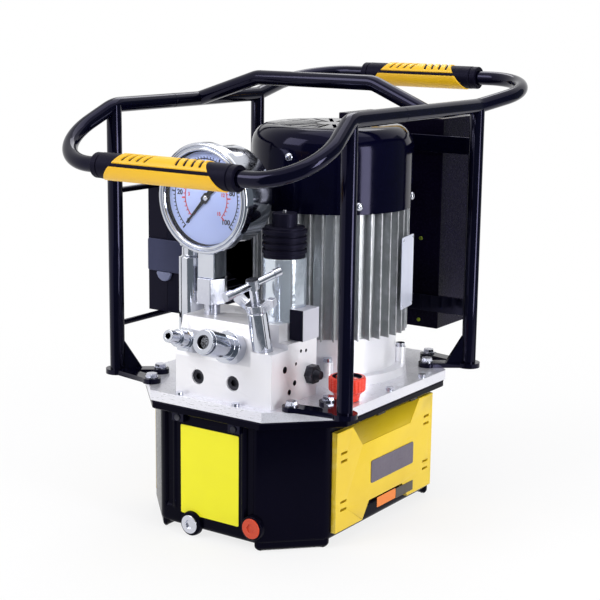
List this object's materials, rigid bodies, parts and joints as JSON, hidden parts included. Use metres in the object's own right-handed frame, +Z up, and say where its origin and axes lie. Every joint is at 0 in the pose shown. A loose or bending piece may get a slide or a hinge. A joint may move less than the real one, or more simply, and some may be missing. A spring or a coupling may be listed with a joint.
{
  "type": "electric hydraulic power unit",
  "caption": "Portable hydraulic pump: oil tank with cover plate, finned motor, valve block with gauge, relief valve and couplings, oil cooler, control box, tubular carrying frame",
  "frame": {"origin": "middle of the overall outline in plan, on the floor plane under the feet of the tank", "axes": "+Z up, front (valve block, gauge and couplings) towards -Y, +X to the right of someone facing the front"},
  "size_m": [0.3144, 0.462, 0.448],
  "materials": {
    "tank_black": "smooth satin near-black paint",
    "frame_black": "glossy near-black powder coat with a blue tint",
    "rubber_black": "matt black rubber",
    "panel_yellow": "glossy yellow moulding",
    "grip_yellow": "glossy amber yellow moulding",
    "plate_aluminium": "bright machined aluminium",
    "motor_aluminium": "ribbed cast aluminium",
    "bright_steel": "bright plated steel",
    "black_steel": "blackened steel",
    "core_steel": "plain machined steel",
    "polished_chrome": "polished chrome plate",
    "pump_iron": "cast iron",
    "plug_orange": "orange-red moulding",
    "cap_red": "glossy orange-red moulding",
    "cowl_black": "high-gloss black paint",
    "plastic_black": "black moulded plastic",
    "connector_grey": "light grey moulded plastic",
    "box_black": "satin black paint",
    "cooler_black": "black painted aluminium core",
    "gauge_glass": "clear flat glass",
    "dial_blue": "pale blue printed face",
    "needle_black": "black paint"
  },
  "bodies": {
    "unit": {"reservoir_tank": "tank_black", "tank_gasket": "rubber_black", "left_side_panel": "panel_yellow", "right_side_panel": "panel_yellow", "drain_plug": "bright_steel", "sight_plug": "plug_orange", "cover_clamps": "frame_black", "cover_plate": "plate_aluminium", "frame_leg_front_left": "frame_black", "frame_leg_front_right": "frame_black", "frame_leg_rear_left": "frame_black", "frame_leg_rear_right": "frame_black", "front_carry_loop": "frame_black", "rear_carry_loop": "frame_black", "cross_bar": "frame_black", "plate_fasteners": "bright_steel", "grip_sleeves": "rubber_black", "grip_shells": "grip_yellow", "motor_housing": "motor_aluminium", "motor_stator": "core_steel", "motor_bearings": "bright_steel", "motor_bell": "plate_aluminium", "fan_cowl": "cowl_black", "pump_housing": "pump_iron", "pump_pistons": "bright_steel", "suction_strainer": "bright_steel", "manifold_block": "plate_aluminium", "port_plugs": "black_steel", "female_coupler": "polished_chrome", "male_coupler": "polished_chrome", "relief_valve_body": "polished_chrome", "gauge_case": "polished_chrome", "gauge_bezel": "polished_chrome", "gauge_lens": "gauge_glass", "gauge_dial": "dial_blue", "gauge_swivel_nut": "bright_steel", "gauge_adapter": "bright_steel", "return_filter": "polished_chrome", "solenoid_coil": "polished_chrome", "solenoid_cap": "plastic_black", "solenoid_connector": "connector_grey", "filler_neck": "bright_steel", "control_box": "box_black", "control_box_cover": "box_black", "cable_gland": "plastic_black", "cooler_core": "cooler_black", "cooler_fan_frame": "plastic_black", "accessory_bars": "frame_black"},
    "motor_spindle": {"motor_rotor": "core_steel", "cooling_fan": "plastic_black", "shaft_coupling": "core_steel", "pump_eccentric": "core_steel"},
    "cooler_rotor": {"cooler_fan_rotor": "plastic_black"},
    "needle": {"gauge_needle": "needle_black"},
    "relief_stem": {"relief_spindle": "bright_steel"},
    "relief_handle": {"relief_t_handle": "bright_steel"},
    "lock_nut": {"relief_lock_nut": "bright_steel"},
    "sleeve": {"coupler_sleeve": "polished_chrome"},
    "armature": {"valve_armature": "core_steel"},
    "cap": {"filler_cap": "cap_red"}
  },
  "joints": [
    {"name": "motor_spin", "type": "hinge", "parent": "unit", "child": "motor_spindle", "pos_m": [0.0192, 0.016, 0.141], "axis": [0, 0, 1], "continuous": true},
    {"name": "cooler_fan_spin", "type": "hinge", "parent": "unit", "child": "cooler_rotor", "pos_m": [-0.1483, -0.009, 0.26], "axis": [1, 0, 0], "continuous": true},
    {"name": "gauge_needle_turn", "type": "hinge", "parent": "unit", "child": "needle", "pos_m": [-0.0278, -0.133, 0.33], "axis": [0, 1, 0], "range_deg": [0, 270]},
    {"name": "relief_travel", "type": "slide", "parent": "unit", "child": "relief_stem", "axis": [0, -0.2419, 0.9703], "range_m": [0, 0.0025]},
    {"name": "relief_handle_turn", "type": "hinge", "parent": "relief_stem", "child": "relief_handle", "pos_m": [0.0492, -0.144, 0.194], "axis": [0, -0.2419, 0.9703], "range_deg": [0, 600]},
    {"name": "lock_nut_turn", "type": "hinge", "parent": "unit", "child": "lock_nut", "pos_m": [0.0492, -0.144, 0.194], "axis": [0, -0.2419, 0.9703], "range_deg": [-180, 180]},
    {"name": "sleeve_slide", "type": "slide", "parent": "unit", "child": "sleeve", "axis": [0, 0.9511, -0.309], "range_m": [0, 0.006], "stiffness_N_per_m": 400},
    {"name": "armature_slide", "type": "slide", "parent": "unit", "child": "armature", "axis": [0, 0, 1], "range_m": [-0.002, 0], "stiffness_N_per_m": 1500},
    {"name": "filler_cap_turn", "type": "hinge", "parent": "unit", "child": "cap", "pos_m": [0.1042, -0.082, 0.145], "axis": [0, 0, 1], "range_deg": [0, 90]}
  ],
  "couplings": [
    {"joint": "relief_handle_turn", "follows": "relief_travel", "rad_per_m": 4188.8}
  ]
}
